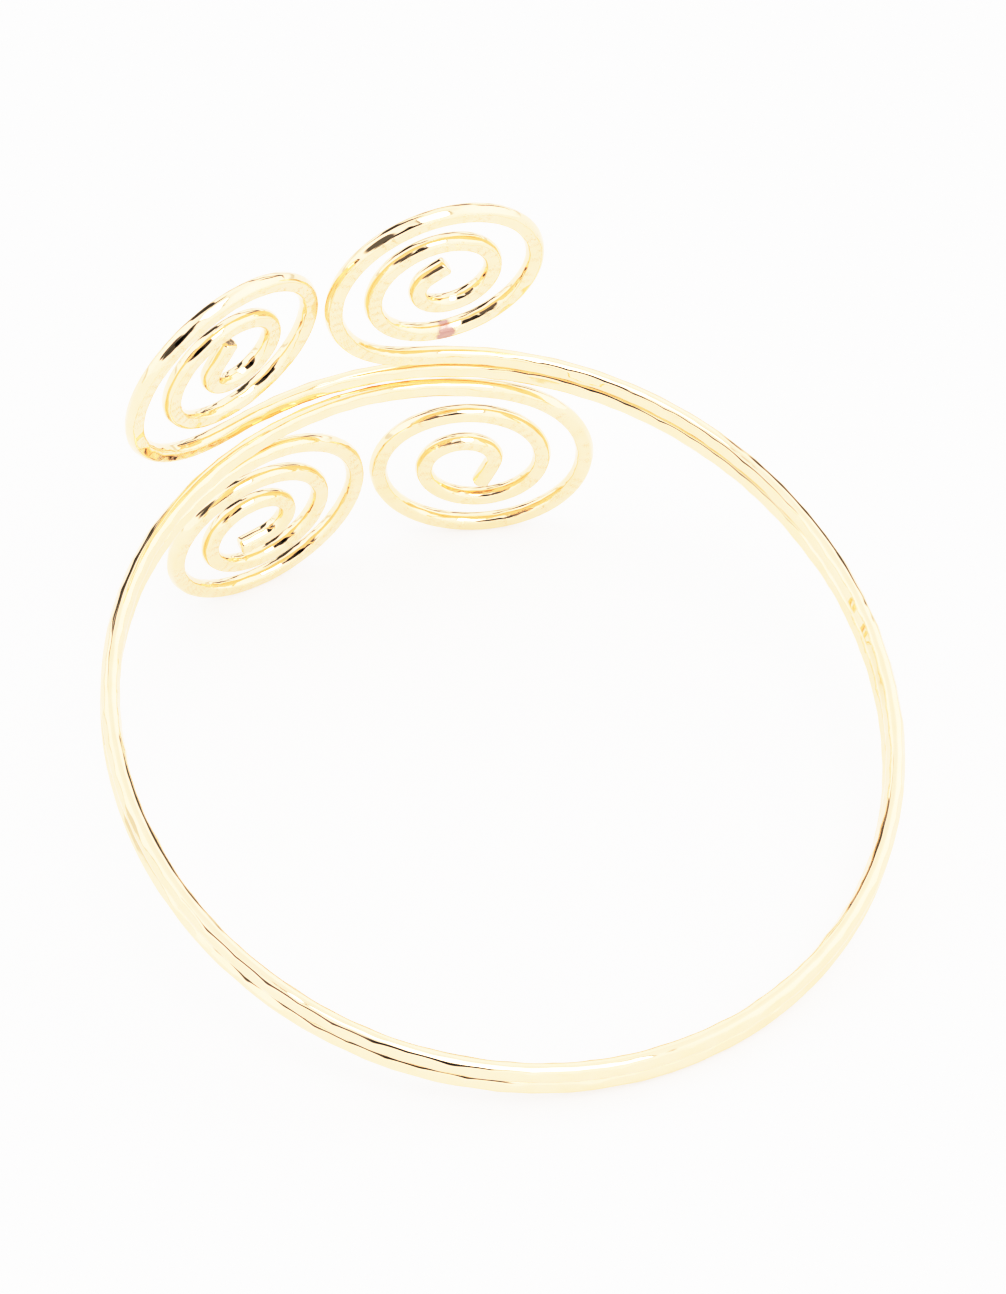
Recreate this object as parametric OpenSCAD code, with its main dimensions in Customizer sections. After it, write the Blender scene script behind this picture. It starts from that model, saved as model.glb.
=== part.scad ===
// Upper arm cuff bent from two round wires that lie one above the other round the arm.
// Each wire is wound at both ends into a flat scroll, so the front carries four scrolls.
// The hoop's own frame has its axis along Z and the front at -Y; angles run from the front
// round the hoop's -X side. The whole cuff is then tipped until it rests on the plane Z = 0.

/* [Wire] */
// Diameter of the round wire
wire_d = 2.1; // [1.6:0.05:2.8]
// Clearance between wires that lie side by side
wire_gap = 0.08; // [0.05:0.01:0.3]
// Length of the filed edge at each cut end
end_ease = 0.35; // [0.1:0.05:0.6]

/* [Hoop] */
// Width of the hoop, between wire centres
hoop_w = 80.5; // [70:0.5:100]
// Depth of the hoop from front to back, between wire centres
hoop_d = 87.5; // [76:0.5:110]

/* [Scrolls] */
// Radius of a scroll's outer turn, to the wire's centre
scroll_r = 13.8; // [11:0.1:16]
// Radius of the innermost bend, to the wire's centre
eye_r = 2.5; // [2:0.1:3.5]
// Length of the straight tip inside the innermost bend
tip_l = 2.6; // [1.5:0.1:3.4]
// Clearance between two scrolls that stand side by side
scroll_gap = 0.6; // [0.3:0.1:3]
// Length of wire over which a scroll's base draws away from the hoop's line
lead_l = 34; // [24:1:44]

/* [Facets] */
// Number of sides of the wire's section
wire_sides = 10; // [8:2:12]
// Angle between sections round the hoop, in degrees
hoop_step = 3.5; // [3:0.5:6]
// Angle between sections round a scroll, in degrees
scroll_step = 9; // [8:1:15]

/* [Hidden] */

gold = [0.93, 0.79, 0.5];

// Distance between the centres of wires that touch
pitch = wire_d + wire_gap;
// The band sinks by this many pitches in one turn, so that four wires stack at the front
turn_drop = 2;
// The band also winds inwards in one turn, so that its end passes inside its beginning
wind_in = 1.06 * pitch;
// Mean radius of the hoop, and how much of it goes into the oval
hoop_r = (hoop_w + hoop_d) / 4;
hoop_oval = (hoop_d - hoop_w) / (hoop_d + hoop_w);
// Distance along the front that half of one scroll and half of the gap take up
scroll_seat = scroll_r + (wire_d + scroll_gap) / 2;

// One row for each scroll. Its columns are:
// PLACE  where its base sits along the front, as a share of scroll_seat, towards -X
// FACE   how far its plane is turned in from the hoop's line, in degrees
// LEAN   how far it leans out from the hoop's axis, in degrees
// SIZE   its outer radius as a share of scroll_r
// EYE    its innermost radius as a share of eye_r
// TURNS  the number of turns
// EVEN   how evenly it tightens: 1 is evenly, more is later
// TIP    its straight tip as a share of tip_l
// OUT    how far its base is drawn outwards, as a share of the pitch
// UP     how far its base is drawn upwards, as a share of the pitch
PLACE = 0;
FACE = 1;
LEAN = 2;
SIZE = 3;
EYE = 4;
TURNS = 5;
EVEN = 6;
TIP = 7;
OUT = 8;
UP = 9;
//                   PLACE  FACE  LEAN  SIZE  EYE   TURNS EVEN  TIP   OUT   UP
top_near_scroll =  [ 0.53,  11.8, -2.8, 0.96, 0.89, 2.36, 1.14, 0.7,  0,    0];
top_far_scroll =   [-1.08, -3.8,  -4,   1.01, 0.97, 2.29, 1.05, 1.25, 0.25, -0.72];
base_near_scroll = [-0.78,  6.7,  2.3,  1.01, 1.17, 2.45, 0.92, 0.94, 0,    -0.1];
base_far_scroll =  [ 0.93, -5,    1.6,  1,    0.96, 2.25, 1.13, 1.35, 0.68, -0.08];

// Each wire: its starting scroll, its ending scroll, and whether it is the upper one (1) or not (-1)
FIRST = 0;
LAST = 1;
LEVEL = 2;
upper = [top_near_scroll, base_far_scroll, 1];
lower = [top_far_scroll, base_near_scroll, -1];

// Angle round the hoop of a scroll's base. The last scroll comes one full turn later.
function base_angle(row, turn) = 360 * turn + row[PLACE] * scroll_seat / (hoop_d / 2) * 180 / PI;

// A curve that goes from 0 to 1 and is level at both ends
function clamp01(v) = min(1, max(0, v));
function level_step(v) = clamp01(v) * clamp01(v) * (3 - 2 * clamp01(v));

// How much of a scroll's OUT and UP is felt at the angle t, where its base is at the angle a
function pull(t, a) = level_step(1 - abs(t - a) * PI / 180 * hoop_r / lead_l);
function drawn(wire, t, column) =
    pitch * (wire[FIRST][column] * pull(t, base_angle(wire[FIRST], 0))
        + wire[LAST][column] * pull(t, base_angle(wire[LAST], 1)));

// A wire's distance from the hoop's axis, and its height, at the angle t
function hoop_radius(wire, t) =
    hoop_r * (1 + hoop_oval * cos(2 * t)) + wind_in * (0.5 - t / 360) + drawn(wire, t, OUT);
function hoop_height(wire, t) =
    pitch * (turn_drop * (0.5 - t / 360) + wire[LEVEL] / 2) + drawn(wire, t, UP);
function hoop_point(wire, t) =
    [-hoop_radius(wire, t) * sin(t), -hoop_radius(wire, t) * cos(t), hoop_height(wire, t)];

function unit(v) = v / norm(v);
function flat(v) = [v[0], v[1], 0];

// Steps that part a whole evenly, none longer than the step given
function steps(whole, step) = ceil(abs(whole) / step);

// The spiral in its own plane: x along the wire's travel at the base, y away from the band.
// The radius falls from the outer one to the eye's as the share q of the winding goes to 1.
function spiral_radius(row, q) =
    let (outer = row[SIZE] * scroll_r, eye = row[EYE] * eye_r)
    outer - (outer - eye) * pow(q, row[EVEN]);
function spiral_point(row, q) =
    let (a = 360 * row[TURNS] * q, r = spiral_radius(row, q))
    [r * sin(a), row[SIZE] * scroll_r - r * cos(a)];
function spiral_curve(row) =
    let (
        n = steps(360 * row[TURNS], scroll_step),
        wound = [for (i = [1:n]) spiral_point(row, i / n)],
        tip_way = unit(wound[n - 1] - wound[n - 2]),
        tip = row[TIP] * tip_l
    )
    concat(wound, [for (share = [0.5, 1]) wound[n - 1] + tip_way * tip * share]);

// The scroll stood on the hoop at the base's angle. way is -1 on the first scroll, whose wire
// runs back against the angle, and 1 on the last. rise is 1 for a scroll above the band, -1 below.
// Each entry is a point with the direction square to the scroll's plane, pointing outwards.
function stood_scroll(wire, row, t, way, rise) =
    let (
        base = hoop_point(wire, t),
        along = unit(flat(hoop_point(wire, t + 0.5) - hoop_point(wire, t - 0.5))) * way,
        inwards = unit(cross([0, 0, 1], along)) * -way,
        travel = along * cos(row[FACE]) + inwards * sin(row[FACE]),
        square_in = inwards * cos(row[FACE]) - along * sin(row[FACE]),
        away = [0, 0, rise] * cos(row[LEAN]) - square_in * sin(row[LEAN]),
        outwards = -square_in * cos(row[LEAN]) - [0, 0, rise] * sin(row[LEAN])
    )
    [for (p = spiral_curve(row)) [base + travel * p[0] + away * p[1], outwards]];

function band(wire, t0, t1) =
    let (n = steps(t1 - t0, hoop_step))
    [for (i = [0:n])
        let (t = t0 + (t1 - t0) * i / n)
        [hoop_point(wire, t), [-sin(t), -cos(t), 0]]];

function reversed(list) = [for (i = [len(list) - 1:-1:0]) list[i]];

// The wire's whole centre line from tip to tip, with its sharpest changes of direction eased
function raw_line(wire) =
    let (
        t0 = base_angle(wire[FIRST], 0),
        t1 = base_angle(wire[LAST], 1)
    )
    concat(
        reversed(stood_scroll(wire, wire[FIRST], t0, -1, 1)),
        band(wire, t0, t1),
        stood_scroll(wire, wire[LAST], t1, 1, -1)
    );
ease_weights = [1, 2, 3, 2, 1];
function eased(line) =
    let (n = len(line), half = floor(len(ease_weights) / 2), total = 9)
    [for (i = [0:n - 1])
        i < half || i > n - 1 - half
            ? line[i]
            : [for (column = [0, 1])
                [for (axis = [0:2])
                    [for (k = [-half:half]) line[i + k][column][axis] * ease_weights[k + half]]
                        * [for (k = [-half:half]) 1] / total]]];

upper_line = eased(raw_line(upper));
lower_line = eased(raw_line(lower));

// The resting plane touches the lowest point of each scroll below the band and of the band's
// back. n is the plane's normal in the hoop's frame, found by a few rounds of trial.
function lowest(points, n) =
    let (heights = [for (p = points) p * n], least = min(heights))
    points[search(least, heights)[0]];
function part_points(line, from, to) =
    [for (i = [floor(from * (len(line) - 1)):ceil(to * (len(line) - 1))]) line[i][0]];
back_points = part_points(lower_line, 0.42, 0.6);
upper_end = part_points(upper_line, 0.72, 1);
lower_end = part_points(lower_line, 0.72, 1);
function rest_normal(n, rounds) =
    rounds == 0
        ? n
        : let (
            a = lowest(upper_end, n),
            b = lowest(lower_end, n),
            c = lowest(back_points, n),
            m = unit(cross(b - a, c - a))
        )
        rest_normal(m * sign(m[2]), rounds - 1);
up_way = rest_normal([0, 0, 1], 8);
// The rest frame's X stays level in the hoop's frame
x_way = unit(cross([0, 1, 0], up_way));
y_way = cross(up_way, x_way);
function tipped(v) = [v * x_way, v * y_way, v * up_way];

// The corners of each ring of the wire's skin, in the rest frame
function ring(line, i) =
    let (
        n = len(line),
        before = line[max(0, i - 1)][0],
        after = line[min(n - 1, i + 1)][0],
        travel = unit(after - before),
        side = unit(cross(travel, line[i][1])),
        top = cross(side, travel),
        r = wire_d / 2
    )
    [for (k = [0:wire_sides - 1])
        let (a = 360 * k / wire_sides)
        tipped(line[i][0] + top * r * cos(a) + side * r * sin(a))];

// A cut end is one ring nearer the axis, pushed past the last ring by the filed edge's length
function end_ring(line, last) =
    let (
        n = len(line),
        i = last ? n - 1 : 0,
        inner = last ? n - 2 : 1,
        travel = unit(line[i][0] - line[inner][0]),
        centre = tipped(line[i][0]),
        push = tipped(travel) * end_ease,
        shrink = 1 - 2 * end_ease / wire_d
    )
    [for (p = ring(line, i)) centre + (p - centre) * shrink + push];

function rings(line) =
    concat([end_ring(line, false)], [for (i = [0:len(line) - 1]) ring(line, i)], [end_ring(line, true)]);

upper_rings = rings(upper_line);
lower_rings = rings(lower_line);

// The rest frame's origin: the middle of the cuff's box, at its lowest corner's height
all_corners = [for (r = concat(upper_rings, lower_rings)) each r];
function least(axis) = min([for (p = all_corners) p[axis]]);
function most(axis) = max([for (p = all_corners) p[axis]]);
origin = [(least(0) + most(0)) / 2, (least(1) + most(1)) / 2, least(2)];

module wire_skin(line_rings) {
    n = len(line_rings);
    s = wire_sides;
    corners = [for (r = line_rings) each r];
    start_cap = [[for (k = [0:s - 1]) k]];
    end_cap = [[for (k = [s - 1:-1:0]) (n - 1) * s + k]];
    walls = [for (i = [0:n - 2], k = [0:s - 1])
        let (a = i * s + k, b = i * s + (k + 1) % s)
        [a, a + s, b + s, b]];
    translate(-origin)
        polyhedron(points = corners, faces = concat(start_cap, walls, end_cap), convexity = 10);
}

module upper_wire() {
    color(gold)
        wire_skin(upper_rings);
}

module lower_wire() {
    color(gold)
        wire_skin(lower_rings);
}

upper_wire();
lower_wire();
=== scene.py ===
import math

import bpy
import numpy as np
from mathutils import Matrix


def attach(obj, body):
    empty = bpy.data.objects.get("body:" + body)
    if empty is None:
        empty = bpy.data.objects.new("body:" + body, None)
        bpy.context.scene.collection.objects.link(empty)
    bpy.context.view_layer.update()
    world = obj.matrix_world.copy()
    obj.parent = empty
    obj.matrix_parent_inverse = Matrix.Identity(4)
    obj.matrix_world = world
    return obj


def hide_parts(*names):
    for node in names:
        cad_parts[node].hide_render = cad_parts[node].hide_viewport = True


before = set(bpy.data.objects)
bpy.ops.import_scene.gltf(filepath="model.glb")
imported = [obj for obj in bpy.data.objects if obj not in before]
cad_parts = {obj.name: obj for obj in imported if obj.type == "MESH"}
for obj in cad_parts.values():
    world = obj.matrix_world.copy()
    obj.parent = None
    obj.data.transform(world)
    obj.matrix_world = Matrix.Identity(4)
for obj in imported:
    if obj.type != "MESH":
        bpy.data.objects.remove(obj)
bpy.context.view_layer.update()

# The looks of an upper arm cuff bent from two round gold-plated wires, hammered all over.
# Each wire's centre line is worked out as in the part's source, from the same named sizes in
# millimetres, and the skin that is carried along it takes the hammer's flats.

MM = 0.001

# Sizes in millimetres, as in the part's source
WIRE_D = 2.1
WIRE_GAP = 0.08
END_EASE = 0.35
HOOP_W = 80.5
HOOP_D = 87.5
SCROLL_R = 13.8
EYE_R = 2.5
TIP_L = 2.6
SCROLL_GAP = 0.6
LEAD_L = 34.0
HOOP_STEP = 3.5
SCROLL_STEP = 9.0
CAD_SIDES = 10

PITCH = WIRE_D + WIRE_GAP
TURN_DROP = 2.0
WIND_IN = 1.06 * PITCH
HOOP_R = (HOOP_W + HOOP_D) / 4
HOOP_OVAL = (HOOP_D - HOOP_W) / (HOOP_D + HOOP_W)
SCROLL_SEAT = SCROLL_R + (WIRE_D + SCROLL_GAP) / 2

# The parts of a wire that may touch the floor, as shares of its points, and the rounds that find how
# it rests on them
BASE_SCROLL, BACK = (0.72, 1), (0.42, 0.6)
REST_ROUNDS = 8

# One row for each scroll, with the same columns and shares as in the part's source
COLUMNS = ("place", "face", "lean", "size", "eye", "turns", "even", "tip", "out", "up")
TOP_NEAR = dict(zip(COLUMNS, (0.53, 11.8, -2.8, 0.96, 0.89, 2.36, 1.14, 0.7, 0, 0)))
TOP_FAR = dict(zip(COLUMNS, (-1.08, -3.8, -4, 1.01, 0.97, 2.29, 1.05, 1.25, 0.25, -0.72)))
BASE_NEAR = dict(zip(COLUMNS, (-0.78, 6.7, 2.3, 1.01, 1.17, 2.45, 0.92, 0.94, 0, -0.1)))
BASE_FAR = dict(zip(COLUMNS, (0.93, -5, 1.6, 1, 0.96, 2.25, 1.13, 1.35, 0.68, -0.08)))

# Each wire: its starting scroll, its ending scroll, and 1 for the upper wire or -1 for the lower
UPPER = dict(first=TOP_NEAR, last=BASE_FAR, level=1)
LOWER = dict(first=TOP_FAR, last=BASE_NEAR, level=-1)


def unit(v):
    """Vectors along the last axis, scaled to length 1."""
    return v / np.linalg.norm(v, axis=-1, keepdims=True)


def level_step(v):
    """3 v^2 - 2 v^3 between 0 and 1, so that it is level at both ends."""
    v = np.clip(v, 0, 1)
    return v * v * (3 - 2 * v)


def base_angle(row, turn):
    """Angle round the hoop of a scroll's base: its place along the front over the front's radius."""
    return 360 * turn + math.degrees(row["place"] * SCROLL_SEAT / (HOOP_D / 2))


def drawn(wire, t, column):
    """How far the wire is drawn off the hoop at the angle t by its two scrolls' bases."""
    total = 0
    for row, turn in ((wire["first"], 0), (wire["last"], 1)):
        along = np.abs(t - base_angle(row, turn)) * math.pi / 180 * HOOP_R
        total = total + row[column] * level_step(1 - along / LEAD_L)
    return PITCH * total


def hoop_point(wire, t):
    """Point of the band at the angle t: an oval whose radius winds in and whose height sinks
    evenly."""
    t = np.asarray(t, float)
    a = np.radians(t)
    oval = HOOP_R * (1 + HOOP_OVAL * np.cos(2 * a))
    radius = oval + WIND_IN * (0.5 - t / 360) + drawn(wire, t, "out")
    height = PITCH * (TURN_DROP * (0.5 - t / 360) + wire["level"] / 2) + drawn(wire, t, "up")
    return np.stack([-radius * np.sin(a), -radius * np.cos(a), height], -1)


def spiral_curve(row):
    """Flat spiral whose radius falls from the outer one to the eye's as q^even goes to 1, then a
    straight tip."""
    count = math.ceil(360 * row["turns"] / SCROLL_STEP)
    q = np.arange(1, count + 1) / count
    outer = row["size"] * SCROLL_R
    radius = outer - (outer - row["eye"] * EYE_R) * q ** row["even"]
    a = np.radians(360 * row["turns"] * q)
    wound = np.stack([radius * np.sin(a), outer - radius * np.cos(a)], -1)
    tip = unit(wound[-1] - wound[-2]) * row["tip"] * TIP_L
    return np.vstack([wound, wound[-1] + tip / 2, wound[-1] + tip])


def stood_scroll(wire, row, t, way, rise):
    """The spiral stood on the band at the angle t, turned by its face and leant by its lean."""
    base = hoop_point(wire, t)
    along = (hoop_point(wire, t + 0.5) - hoop_point(wire, t - 0.5)) * (1, 1, 0)
    along = unit(along) * way
    inwards = unit(np.cross((0, 0, 1), along)) * -way
    face, lean = math.radians(row["face"]), math.radians(row["lean"])
    travel = along * math.cos(face) + inwards * math.sin(face)
    square_in = inwards * math.cos(face) - along * math.sin(face)
    upright = np.array((0, 0, rise))
    away = upright * math.cos(lean) - square_in * math.sin(lean)
    outwards = -square_in * math.cos(lean) - upright * math.sin(lean)
    p = spiral_curve(row)
    return np.hstack([base + p[:, :1] * travel + p[:, 1:] * away, np.tile(outwards, (len(p), 1))])


def centre_line(wire):
    """Points of the whole wire from tip to tip, each with its outward direction, eased by a mean over
    five of them. Also gives where the band starts and ends among them."""
    t0, t1 = base_angle(wire["first"], 0), base_angle(wire["last"], 1)
    t = np.linspace(t0, t1, math.ceil((t1 - t0) / HOOP_STEP) + 1)
    a = np.radians(t)
    band = np.hstack([hoop_point(wire, t), np.stack([-np.sin(a), -np.cos(a), 0 * a], -1)])
    first = stood_scroll(wire, wire["first"], t0, -1, 1)[::-1]
    last = stood_scroll(wire, wire["last"], t1, 1, -1)
    raw = np.vstack([first, band, last])
    eased = raw.copy()
    weights = np.array((1, 2, 3, 2, 1)) / 9
    eased[2:-2] = sum(w * raw[k:len(raw) - 4 + k] for k, w in enumerate(weights))
    return eased, len(first), len(first) + len(band)


def resting_turn(upper, lower):
    """The turn into the rest frame: its Z is square to the plane that touches both base scrolls and
    the back. Each round takes each part's lowest point and lays the plane through the three."""
    def part(line, start, end):
        last = len(line) - 1
        return line[math.floor(start * last):math.ceil(end * last) + 1, :3]
    parts = part(upper, *BASE_SCROLL), part(lower, *BASE_SCROLL), part(lower, *BACK)
    up = np.array((0.0, 0.0, 1.0))
    for _ in range(REST_ROUNDS):
        a, b, c = (p[np.argmin(p @ up)] for p in parts)
        up = unit(np.cross(b - a, c - a))
        up = up * np.sign(up[2])
    x = unit(np.cross((0, 1, 0), up))
    return np.array([x, np.cross(up, x), up])


def ring_axes(points, outward):
    """Three directions at each point: along the wire, its outward side, and across it."""
    ends = np.vstack([points[:1], points, points[-1:]])
    travel = unit(ends[2:] - ends[:-2])
    side = unit(np.cross(travel, outward))
    return travel, np.cross(side, travel), side


def cad_corners(line):
    """The corners of the ten-sided rings in the part's source, which set its box."""
    _, top, side = ring_axes(line[:, :3], line[:, 3:])
    a = np.arange(CAD_SIDES) * 2 * math.pi / CAD_SIDES
    spokes = top[:, None] * np.cos(a)[:, None] + side[:, None] * np.sin(a)[:, None]
    return (line[:, None, :3] + spokes * WIRE_D / 2).reshape(-1, 3)


def natural_cubic(knots, values, at):
    """The natural cubic spline through values at the knots, worked out at the places given."""
    h = np.diff(knots)
    n = len(knots)
    matrix = np.eye(n)
    right = np.zeros_like(values)
    i = np.arange(1, n - 1)
    matrix[i, i - 1], matrix[i, i], matrix[i, i + 1] = h[:-1], 2 * (h[:-1] + h[1:]), h[1:]
    slope = np.diff(values, axis=0) / h[:, None]
    right[1:-1] = 6 * np.diff(slope, axis=0)
    bend = np.linalg.solve(matrix, right)
    k = np.clip(np.searchsorted(knots, at) - 1, 0, n - 2)
    a = ((knots[k + 1] - at) / h[k])[:, None]
    b = 1 - a
    return (a * values[k] + b * values[k + 1]
            + ((a ** 3 - a) * bend[k] + (b ** 3 - b) * bend[k + 1]) * (h[k] ** 2)[:, None] / 6)


# The skin of a wire: how finely it is cut up, and its radius before the hammer
RING_STEP = 0.25
SIDES = 36
CAP_RINGS = 4
EDGE_RINGS = 5
SKIN_R = 1.055
AROUND = np.arange(SIDES) * 2 * math.pi / SIDES


def fine_line(line):
    """The centre line as a smooth curve with even steps, with its outward directions and its knots."""
    points = line[:, :3]
    knots = np.r_[0, np.cumsum(np.linalg.norm(np.diff(points, axis=0), axis=1))]
    whole = knots[-1]
    s = np.linspace(0, whole, math.ceil(whole / RING_STEP) + 1)
    curve = natural_cubic(knots, line, s)
    return s, curve[:, :3], unit(curve[:, 3:]), knots


# The lines of hammer blows along a wire, of the band and of the scrolls: the angle round the section
# from its outward side and its spread in degrees, then in millimetres the spacing and the depth, and
# the least share of that depth
BAND_BLOWS = (
    (79, 5, 3.7, 0.035, 0.2),
    (104, 5, 3.9, 0.03, 0.2),
    (161, 3, 3.8, 0.21, 0.8),
    (30, 3, 4.0, 0.155, 0.75),
    (210, 6, 3.3, 0.11, 0.6),
    (268, 6, 3.5, 0.12, 0.6),
    (328, 6, 3.4, 0.11, 0.6),
)
SCROLL_BLOWS = (
    (0, 3, 2.9, 0.2, 0.85),
    (180, 3, 2.9, 0.2, 0.85),
    (66, 2, 1.9, 0.06, 0.85),
    (113, 2, 1.8, 0.06, 0.85),
    (249, 2, 1.8, 0.06, 0.85),
    (294, 2, 1.9, 0.06, 0.85),
)
# The hammer face's radii, how soft the edges between the blows are, how far a blow strays from its
# place as a share of the spacing, how steeply it tilts along the wire, the least cosine that a flat is
# taken at, a reach past every wire, how far past the skin a blow still counts, and the length over
# which the band's blows give way to a scroll's
BAND_HAMMER_R, SCROLL_HAMMER_R = 26.0, 22.0
EDGE_SOFT = 0.011
BLOW_STRAY = 0.22
BLOW_TILT = 0.014
LEAST_FACING = 0.25
PAST_ALL = 9.0
SKIN_SPARE = 0.03
CHANGE_L = 8.0

# The reddish mark: its middle along the wire, its half width, and how far over it sits as a sine
STAIN_AT, STAIN_HALF, STAIN_OVER = 51.4, 1.1, 0.2

# The fine strokes start where the cosine round the section passes the first of these, either way, and
# are at full strength once it is past that by the second
STROKES_FROM, STROKES_OVER = 0.62, 0.25


def blow_row(s, row, face_r, rng):
    """How far out a line of blows leaves the wire. Each cuts it to a plane whose depth eases off as
    the square of the distance along it, over twice the hammer face's radius. Only the nearest three
    blows are worked out for a ring."""
    angle, spread, spacing, depth, least = row
    count = int(s[-1] / spacing) + 4
    place = (np.arange(count) - 1 + rng.uniform(-BLOW_STRAY, BLOW_STRAY, count)) * spacing
    turned = np.radians(angle + rng.normal(0, spread, count))
    deep = depth * rng.uniform(least, 1, count)
    tilt = rng.normal(0, BLOW_TILT, count)
    near = np.clip(np.rint(s / spacing).astype(int) + 1, 1, count - 2)
    reach = np.full((len(s), SIDES), PAST_ALL)
    for step in (-1, 0, 1):
        i = near + step
        off = s - place[i]
        flat = SKIN_R - deep[i] + off ** 2 / (2 * face_r) + tilt[i] * off
        facing = np.cos(AROUND - turned[i][:, None])
        reach = np.minimum(reach, flat[:, None] / np.maximum(facing, LEAST_FACING))
    return reach


def hammered_radius(s, in_scroll, seed):
    """The skin's radius at each ring and side: the least of the round wire and all the blows' planes.
    A soft minimum, -e log(sum of exp(-radius / e)) with e for EDGE_SOFT, rounds the edges between
    them."""
    rng = np.random.default_rng(seed)
    soft = -SKIN_R / EDGE_SOFT * np.ones((len(s), SIDES))
    beyond = SKIN_R + SKIN_SPARE
    for rows, face_r, share in ((BAND_BLOWS, BAND_HAMMER_R, 1 - in_scroll),
                                (SCROLL_BLOWS, SCROLL_HAMMER_R, in_scroll)):
        for row in rows:
            reach = np.minimum(blow_row(s, row, face_r, rng), beyond)
            reach = beyond + (reach - beyond) * share[:, None]
            soft = np.logaddexp(soft, -reach / EDGE_SOFT)
    return -EDGE_SOFT * soft


def wire_rings(line, band_ends, seed):
    """The rings of a wire's skin from tip to tip: a hammered radius carried along the line, with filed
    ends. Gives their points and middles, their places along the wire and how far each is a scroll's."""
    s, points, outward, knots = fine_line(line)
    first, last = knots[band_ends[0]], knots[band_ends[1]]
    half = CHANGE_L / 2
    in_scroll = 2 - level_step((s - first + half) / CHANGE_L) - level_step((last + half - s) / CHANGE_L)
    radius = hammered_radius(s, in_scroll, seed)
    travel, top, side = ring_axes(points, outward)
    # the filed ends: edges eased by a quarter of a circle, then flat caps
    q = np.arange(1, EDGE_RINGS + 1) / EDGE_RINGS * math.pi / 2
    inset = END_EASE * (1 - np.cos(q))
    ahead = END_EASE * np.sin(q)
    shrink = np.linspace(1, 0, CAP_RINGS + 2)[1:-1]
    scale = np.r_[1 - inset / SKIN_R, (1 - END_EASE / SKIN_R) * shrink]
    push = np.r_[ahead, np.full(CAP_RINGS, END_EASE)]
    index = np.r_[np.zeros(len(scale), int), np.arange(len(s)), np.full(len(scale), len(s) - 1)]
    scales = np.r_[scale[::-1], np.ones(len(s)), scale]
    pushes = np.r_[-push[::-1], np.zeros(len(s)), push]
    middles = points[index] + travel[index] * pushes[:, None]
    spokes = (top[index][:, None] * np.cos(AROUND)[:, None]
              + side[index][:, None] * np.sin(AROUND)[:, None])
    rings = middles[:, None] + (radius[index] * scales[:, None])[..., None] * spokes
    return rings, middles, s[index] + pushes, in_scroll[index]


def lay_uv(mesh, along, wall_loops):
    """The UV map wire: how far along the wire in metres, and how far round it as a share of a turn."""
    loops = np.empty(len(mesh.loops), np.int32)
    mesh.loops.foreach_get("vertex_index", loops)
    u = np.r_[np.repeat(along, SIDES), along[0], along[-1]] * MM
    v = np.r_[np.tile(AROUND, len(along)), 0, 0] / (2 * math.pi)
    uv = np.stack([u[loops], v[loops]], -1)
    # the last wall of a ring ends at a whole turn, not at none
    last_wall = np.zeros(len(loops), bool)
    last_wall[:wall_loops] = np.arange(wall_loops) // 4 % SIDES == SIDES - 1
    uv[last_wall & (loops % SIDES == 0), 1] = 1.0
    mesh.uv_layers.new(name="wire").data.foreach_set("uv", uv.ravel())


def wire_piece(name, line, band_ends, turn, origin, seed, stain=None):
    """The closed skin of a wire, turned and moved to where it rests."""
    rings, middles, along, in_scroll = wire_rings(line, band_ends, seed)
    verts = np.vstack([rings.reshape(-1, 3), middles[0], middles[-1]])
    verts = (verts @ turn.T - origin) * MM
    n, m = len(rings), SIDES
    i, k = np.meshgrid(np.arange(n - 1), np.arange(m), indexing="ij")
    a, b = i * m + k, i * m + (k + 1) % m
    # every face is wound so that it faces outward
    walls = np.stack([a, b, b + m, a + m], -1).reshape(-1, 4)
    k = np.arange(m)
    start = np.stack([np.full(m, n * m), (k + 1) % m, k], -1)
    end = np.stack([np.full(m, n * m + 1), (n - 1) * m + k, (n - 1) * m + (k + 1) % m], -1)
    mesh = bpy.data.meshes.new(name)
    mesh.from_pydata(verts.tolist(), [], walls.tolist() + start.tolist() + end.tolist())
    mesh.polygons.foreach_set("use_smooth", np.ones(len(mesh.polygons), bool))
    # where the reddish mark is, on the inner side: exp(-r^4), with r the distance from its middle
    tint = np.zeros(len(verts), np.float32)
    if stain is not None:
        off = ((along - stain[0]) / stain[1])[:, None] ** 2 + (np.sin(AROUND) - STAIN_OVER) ** 2
        tint[:n * m] = (np.exp(-off ** 2) * (np.cos(AROUND) < 0.5)).ravel()
    # where the fine strokes are, which get painted shade: on the broad faces of the scrolls
    share = np.zeros(len(verts), np.float32)
    broad = np.clip((np.abs(np.cos(AROUND)) - STROKES_FROM) / STROKES_OVER, 0, 1)
    share[:n * m] = (in_scroll[:, None] * broad).ravel()
    for layer, values in (("stain", tint), ("strokes", share)):
        mesh.attributes.new(layer, "FLOAT", "POINT").data.foreach_set("value", values)
    lay_uv(mesh, along, 4 * len(walls))
    mesh.validate()
    piece = bpy.data.objects.new(name, mesh)
    bpy.context.scene.collection.objects.link(piece)
    return piece


def linear(colour):
    """An sRGB hex colour as linear values with alpha 1."""
    c = np.array([int(colour[i:i + 2], 16) for i in (1, 3, 5)]) / 255
    c = np.where(c <= 0.04045, c / 12.92, ((c + 0.055) / 1.055) ** 2.4)
    return (*c.tolist(), 1.0)


def add(tree, kind, inputs=None, **settings):
    """Adds a node with its settings. inputs maps a socket to a value or to the socket that feeds it."""
    made = tree.nodes.new(kind)
    for key, value in settings.items():
        setattr(made, key, value)
    for key, value in (inputs or {}).items():
        if isinstance(value, bpy.types.NodeSocket):
            tree.links.new(value, made.inputs[key])
        else:
            made.inputs[key].default_value = value
    return made


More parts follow.
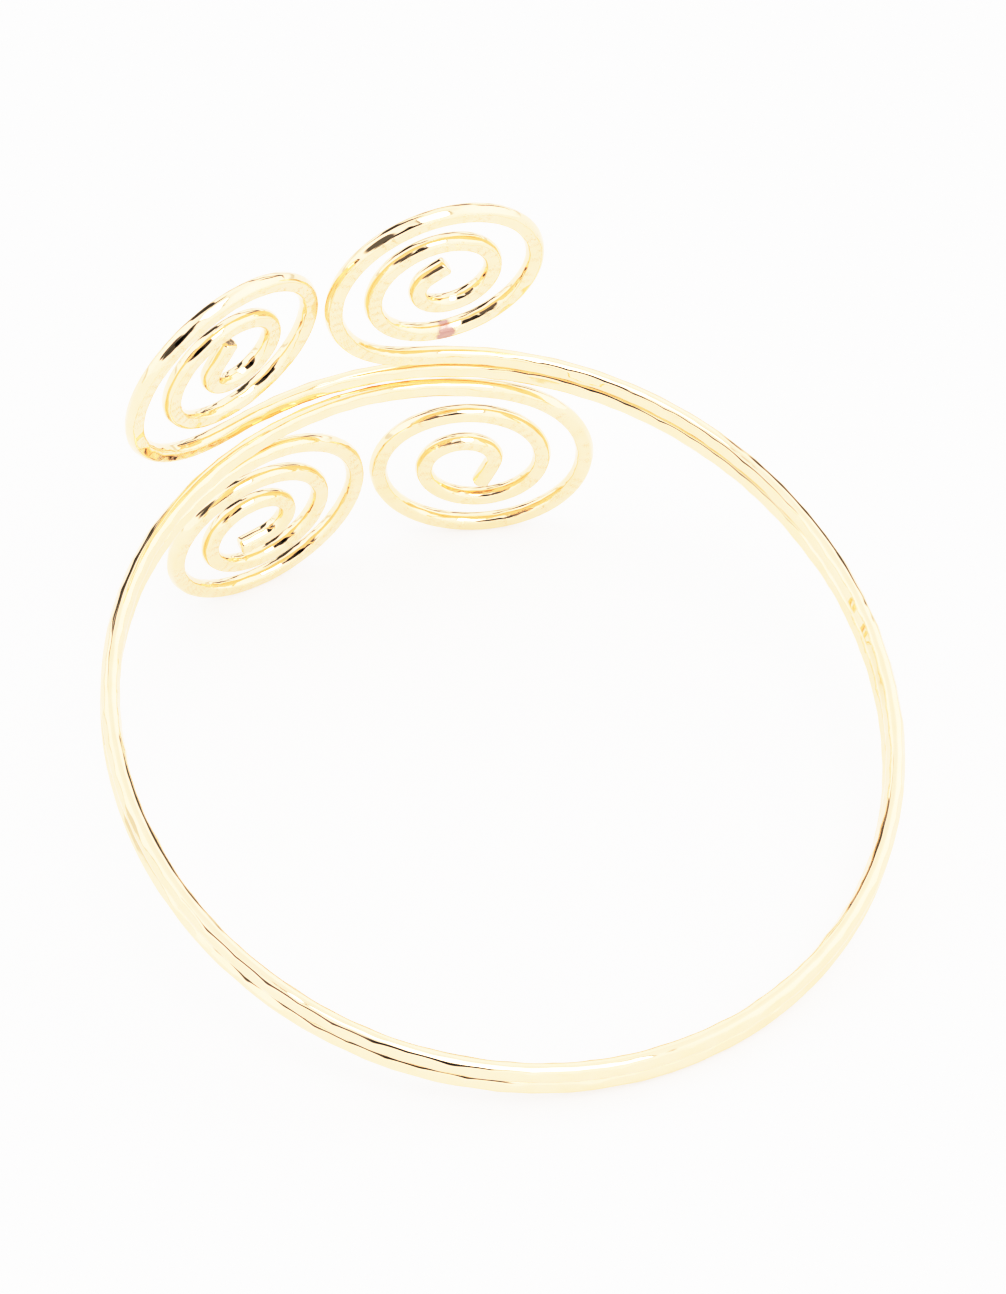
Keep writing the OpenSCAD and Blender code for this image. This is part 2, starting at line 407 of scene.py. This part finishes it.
def per(size_mm):
    """A noise scale, in features a metre, whose features are about this many millimetres."""
    return 1 / (size_mm * MM)


# Colours as sRGB hex. A wave texture of scale 1 has a band about every BAND_STEP of its coordinate.
GOLD_PALE, GOLD_WARM = "#FCD7AB", "#FAD4A5"
# the stroke colour is painted shade: the dark line that a fine hammer stroke shows in the mirror-bright
# gold
MARK_RED, STROKE_SHADE_BROWN = "#B08580", "#C9925E"
PAPER, PAPER_LIT = "#BDBCBC", "#FFFEFC"
BAND_STEP = 0.314


def plated_gold():
    """Pale gold plating on a hammered brass wire, polished: it mirrors the room with a warm cream tint,
    a little unevenly where the hammer's face left its grain. It carries a reddish mark that is duller
    than the rest, and fine curved strokes across the scrolls' broad faces, sunk a little and coloured
    brown as painted shade of the dark lines such strokes show in the mirror finish."""
    mat = bpy.data.materials.new("polished_gold_plate")
    mat.use_nodes = True
    tree = mat.node_tree
    tree.nodes.clear()
    place = add(tree, "ShaderNodeTexCoord").outputs["Object"]
    mottle = add(tree, "ShaderNodeTexNoise", {"Vector": place, "Scale": per(3.0), "Detail": 3.0})
    tone = add(tree, "ShaderNodeMapRange", {"Value": mottle.outputs["Fac"],
                                            "From Min": 0.35, "From Max": 0.7})
    gold = add(tree, "ShaderNodeMix", {"Factor": tone.outputs["Result"], "A": linear(GOLD_PALE),
                                       "B": linear(GOLD_WARM)}, data_type="RGBA")
    # the reddish mark, with a broken edge
    stain = add(tree, "ShaderNodeAttribute", attribute_name="stain").outputs["Fac"]
    blotch = add(tree, "ShaderNodeTexNoise", {"Vector": place, "Scale": per(0.8), "Detail": 4.0})
    broken = add(tree, "ShaderNodeMath", {0: blotch.outputs["Fac"], 1: stain}, operation="MULTIPLY")
    stained = add(tree, "ShaderNodeMapRange", {"Value": broken.outputs[0], "From Min": 0.08,
                                               "From Max": 0.28, "To Max": 0.95})
    colour = add(tree, "ShaderNodeMix", {"Factor": stained.outputs["Result"],
                                         "A": gold.outputs["Result"], "B": linear(MARK_RED)},
                 data_type="RGBA")
    grain = add(tree, "ShaderNodeTexNoise", {"Vector": place, "Scale": per(0.5), "Detail": 3.0})
    rough = add(tree, "ShaderNodeMapRange", {"Value": grain.outputs["Fac"], "To Min": 0.02,
                                             "To Max": 0.07})
    rougher = add(tree, "ShaderNodeMix", {"Factor": stained.outputs["Result"],
                                          "A": rough.outputs["Result"], "B": 0.22}, data_type="FLOAT")
    # the strokes: crests of a bent wave along the wire, broken up by a noise, later coloured with
    # painted shade
    along = add(tree, "ShaderNodeUVMap", uv_map="wire").outputs["UV"]
    rims = add(tree, "ShaderNodeTexWave", {"Vector": along, "Scale": BAND_STEP * per(1.3),
                                           "Distortion": 7.0, "Detail": 1.0, "Detail Scale": 0.6})
    thin = add(tree, "ShaderNodeMapRange", {"Value": rims.outputs["Fac"], "From Min": 0.95})
    here = add(tree, "ShaderNodeTexNoise", {"Vector": place, "Scale": per(2.2), "Detail": 0.0})
    some = add(tree, "ShaderNodeMapRange", {"Value": here.outputs["Fac"],
                                            "From Min": 0.44, "From Max": 0.54})
    where = add(tree, "ShaderNodeAttribute", attribute_name="strokes")
    shown = add(tree, "ShaderNodeMath", {0: thin.outputs["Result"], 1: some.outputs["Result"]},
                operation="MULTIPLY")
    stroke = add(tree, "ShaderNodeMath", {0: shown.outputs[0], 1: where.outputs["Fac"]},
                 operation="MULTIPLY")
    # painted shade: the strokes are darkened to brown in the colour itself
    stroke_shaded_colour = add(tree, "ShaderNodeMix", {"Factor": stroke.outputs[0], "A": colour.outputs["Result"],
                                         "B": linear(STROKE_SHADE_BROWN)}, data_type="RGBA")
    # the relief: the hammer's faint waves, with the strokes sunk into them
    waves = add(tree, "ShaderNodeTexNoise", {"Vector": place, "Scale": per(1.8), "Detail": 0.0})
    height = add(tree, "ShaderNodeMath", {0: stroke.outputs[0], 1: -1.0, 2: waves.outputs["Fac"]},
                 operation="MULTIPLY_ADD")
    bump = add(tree, "ShaderNodeBump", {"Height": height.outputs[0], "Distance": 0.03 * MM,
                                        "Strength": 0.6})
    shader = add(tree, "ShaderNodeBsdfPrincipled", {"Base Color": stroke_shaded_colour.outputs["Result"],
                                                    "Metallic": 1.0,
                                                    "Roughness": rougher.outputs["Result"],
                                                    "Normal": bump.outputs["Normal"]})
    add(tree, "ShaderNodeOutputMaterial", {"Surface": shader.outputs["BSDF"]})
    return mat


def pale_paper():
    """Matt white paper over a light table: an even pale floor. The light that comes through it keeps
    the cuff's shadow faint."""
    mat = bpy.data.materials.new("pale_paper")
    mat.use_nodes = True
    shader = mat.node_tree.nodes["Principled BSDF"]
    for socket, value in (("Base Color", linear(PAPER)), ("Emission Color", linear(PAPER_LIT)),
                          ("Emission Strength", 0.75), ("Roughness", 0.9), ("Specular IOR Level", 0.1)):
        shader.inputs[socket].default_value = value
    return mat


# Both wires, in the hoop's own frame, then turned and moved to rest on the floor
lines = {"upper": centre_line(UPPER), "lower": centre_line(LOWER)}
turn = resting_turn(lines["upper"][0], lines["lower"][0])
corners = np.vstack([cad_corners(line) for line, _, _ in lines.values()]) @ turn.T
low, high = corners.min(0), corners.max(0)
origin = np.array([(low[0] + high[0]) / 2, (low[1] + high[1]) / 2, low[2]])

gold = plated_gold()
for key, node, seed, stain in (("upper", "upper_wire", 11, (STAIN_AT, STAIN_HALF)),
                               ("lower", "lower_wire", 23, None)):
    line, start, end = lines[key]
    piece = wire_piece(f"hammered_{key}_wire", line, (start, end - 1), turn, origin, seed, stain)
    piece.data.materials.append(gold)
    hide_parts(node)
    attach(piece, "root")


# The floor, whose half width is in metres
FLOOR_HALF = 4.0
mesh = bpy.data.meshes.new("floor")
mesh.from_pydata([(x * FLOOR_HALF, y * FLOOR_HALF, 0) for x, y in ((-1, -1), (1, -1), (1, 1), (-1, 1))],
                 [], [(0, 1, 2, 3)])
floor = bpy.data.objects.new("floor", mesh)
mesh.materials.append(pale_paper())
bpy.context.scene.collection.objects.link(floor)


def way_to(azimuth, elevation):
    """The direction at an azimuth from +Y towards +X and an elevation above the floor, in degrees."""
    a, e = math.radians(azimuth), math.radians(elevation)
    return np.array((math.sin(a) * math.cos(e), math.cos(a) * math.cos(e), math.sin(e)))


# The tent's light. The dim gap under its walls ends between two sines of the elevation, and is the
# share GAP_BEHIND as bright behind the cuff. Its roof starts between the next two, and is the share
# ROOF_LIGHT as bright. Each brighter side has a direction, the cosine from which it grows brighter,
# and how much brighter it is in its middle.
TENT_LIGHT = 2.05
GAP_END = {"From Min": 0.06, "From Max": 0.11}
GAP_BEHIND = 0.52
ROOF_START = {"From Min": 0.84, "From Max": 0.9}
ROOF_LIGHT = 0.83
BRIGHT_SIDES = ((-80, 35, 0.62, 1.2), (112, 35, 0.5, 1.13))

# What stands round the cuff, in the order in which it is laid over the white tent: the direction of
# its middle, its half width, half height and roll in degrees, how soft its edge is, the share by
# which it changes the light, and 1 for a square or 0 for an oval. First the camera and what stands
# near it, then what stands behind the cuff with the long seam there, then the roof's light
ROUND_ABOUT = (
    (27, 37, 14, 17, 0, 0.25, -0.98, 0),
    (68, 34, 20, 15, 0, 0.3, -0.93, 0),
    (40, 27, 18, 8, 45, 0.4, -0.96, 0),
    (-121, 27, 8, 15, 0, 0.4, -0.95, 0),
    (163, 31, 9, 20, 0, 0.3, -0.97, 0),
    (-165, 20, 60, 4, 0, 0.4, -0.85, 0),
    (172, 52, 5, 12, -30, 0.5, -0.95, 0),
    (-8, 66, 15.5, 23.5, 0, 0.25, -0.75, 1),
    (-8, 66, 14, 22, 0, 0.1, 13.0, 1),
)


def patch(tree, way, azimuth, elevation, half_w, half_h, roll, edge, square):
    """1 inside a shape round a direction and 0 outside it. With x and y the tangents across and up
    over those of the half sizes, an oval is x^2 + y^2 < 1 and a rounded square x^4 + y^4 < 1."""
    middle = way_to(azimuth, elevation)
    level = unit(np.cross((0, 0, 1), middle))
    over = np.cross(middle, level)
    c, s = math.cos(math.radians(roll)), math.sin(math.radians(roll))
    right = (level * c + over * s) / math.tan(math.radians(half_w))
    up = (over * c - level * s) / math.tan(math.radians(half_h))
    ahead = add(tree, "ShaderNodeVectorMath", {0: way, 1: middle}, operation="DOT_PRODUCT")
    front = add(tree, "ShaderNodeMath", {0: ahead.outputs["Value"], 1: 0.01}, operation="MAXIMUM")
    x = add(tree, "ShaderNodeVectorMath", {0: way, 1: right}, operation="DOT_PRODUCT")
    y = add(tree, "ShaderNodeVectorMath", {0: way, 1: up}, operation="DOT_PRODUCT")
    flat = add(tree, "ShaderNodeCombineXYZ", {"X": x.outputs["Value"], "Y": y.outputs["Value"]})
    off = add(tree, "ShaderNodeVectorMath", {0: flat.outputs[0], 1: front.outputs[0]},
              operation="DIVIDE")
    if square:
        off = add(tree, "ShaderNodeVectorMath", {0: off.outputs[0], 1: off.outputs[0]},
                  operation="MULTIPLY")
    far = add(tree, "ShaderNodeVectorMath", {0: off.outputs[0], 1: off.outputs[0]},
              operation="DOT_PRODUCT")
    inside = add(tree, "ShaderNodeMapRange", {"Value": far.outputs["Value"], "From Min": 1 + edge,
                                              "From Max": 1 - edge}, interpolation_type="SMOOTHSTEP")
    return inside.outputs["Result"]


def tent():
    """The white tent round the cuff, with a bright square light in a dark frame in its roof, the dark
    shapes of the camera, its stand and what else stands round it, the long seam behind the cuff, and
    the dim gap where its walls meet the floor."""
    world = bpy.data.worlds.new("tent")
    bpy.context.scene.world = world
    world.use_nodes = True
    world.cycles.sampling_method = "NONE"
    tree = world.node_tree
    tree.nodes.clear()
    way = add(tree, "ShaderNodeTexCoord").outputs["Generated"]
    place = add(tree, "ShaderNodeSeparateXYZ", {0: way})
    behind = add(tree, "ShaderNodeMapRange", {"Value": place.outputs["Y"], "From Min": 0.0,
                                              "From Max": -0.3, "To Min": 1.0, "To Max": GAP_BEHIND})
    gap = add(tree, "ShaderNodeMapRange", {"Value": place.outputs["Z"], **GAP_END,
                                           "To Min": behind.outputs["Result"]},
              interpolation_type="SMOOTHSTEP")
    roof = add(tree, "ShaderNodeMapRange", {"Value": place.outputs["Z"], **ROOF_START,
                                            "To Min": TENT_LIGHT, "To Max": ROOF_LIGHT * TENT_LIGHT})
    light = add(tree, "ShaderNodeMath", {0: gap.outputs["Result"], 1: roof.outputs["Result"]},
                operation="MULTIPLY")
    for azimuth, elevation, least, brighter in BRIGHT_SIDES:
        near = add(tree, "ShaderNodeVectorMath", {0: way, 1: way_to(azimuth, elevation)},
                   operation="DOT_PRODUCT")
        factor = add(tree, "ShaderNodeMapRange", {"Value": near.outputs["Value"], "From Min": least,
                                                  "To Min": 1.0, "To Max": brighter})
        light = add(tree, "ShaderNodeMath", {0: light.outputs[0], 1: factor.outputs[0]},
                    operation="MULTIPLY")
    for *shape, change, square in ROUND_ABOUT:
        inside = patch(tree, way, *shape, square)
        factor = add(tree, "ShaderNodeMath", {0: inside, 1: change, 2: 1.0}, operation="MULTIPLY_ADD")
        light = add(tree, "ShaderNodeMath", {0: light.outputs[0], 1: factor.outputs[0]},
                    operation="MULTIPLY")
    shade = add(tree, "ShaderNodeBackground", {"Color": (1.0, 1.0, 1.0, 1.0),
                                               "Strength": light.outputs[0]})
    add(tree, "ShaderNodeOutputWorld", {"Surface": shade.outputs["Background"]})


# The tones: where the curve leaves the straight line, the room above it, and the tones it is set at
KNEE, ROOM, TOP_TONE = 0.55, 0.46, 4.0
TONES = (0, 0.2, 0.4, KNEE, 0.7, 0.85, 1.0, 1.2, 1.45, 1.8, 2.3, 3.0, TOP_TONE)


def bright_picture():
    """The tone of a brightly exposed picture: true up to KNEE, then easing towards white as
    KNEE + ROOM (1 - exp(-(x - KNEE) / ROOM))."""
    view = bpy.context.scene.view_settings
    view.view_transform = "Standard"
    view.use_curve_mapping = True
    tone = view.curve_mapping
    tone.white_level = (TOP_TONE,) * 3
    tone.extend = "HORIZONTAL"
    curve = tone.curves[3]
    x = np.array(TONES)
    y = np.minimum(1, np.where(x < KNEE, x, KNEE + ROOM * (1 - np.exp(-(x - KNEE) / ROOM))))
    curve.points[0].location = (0, 0)
    curve.points[-1].location = (1, 1)
    for a, b in zip(x[1:-1] / TOP_TONE, y[1:-1]):
        curve.points.new(float(a), float(b))
    tone.update()


tent()
bright_picture()

# The camera at the photograph's angle: lengths in millimetres, what it sees from and to in metres
LENS, FILM = 118.25, 36.0
AIM = (-1.62, -0.04, 20.0)
CAMERA_AZIMUTH, CAMERA_ELEVATION, CAMERA_ROLL, CAMERA_FAR = 17.602, 39.673, -4.122, 438.9
SEEN_FROM, SEEN_TO = 0.01, 20.0
data = bpy.data.cameras.new("camera")
data.sensor_fit, data.sensor_height, data.sensor_width = "VERTICAL", FILM, FILM
data.lens, data.clip_start, data.clip_end = LENS, SEEN_FROM, SEEN_TO
camera = bpy.data.objects.new("camera", data)
back = way_to(CAMERA_AZIMUTH, CAMERA_ELEVATION)
level = unit(np.cross((0, 0, 1), back))
over = np.cross(back, level)
roll = math.radians(CAMERA_ROLL)
pose = np.eye(4)
pose[:3, 0] = level * math.cos(roll) + over * math.sin(roll)
pose[:3, 1] = over * math.cos(roll) - level * math.sin(roll)
pose[:3, 2] = back
pose[:3, 3] = (np.array(AIM) + back * CAMERA_FAR) * MM
camera.matrix_world = Matrix(pose.tolist())
bpy.context.scene.collection.objects.link(camera)
bpy.context.scene.camera = camera
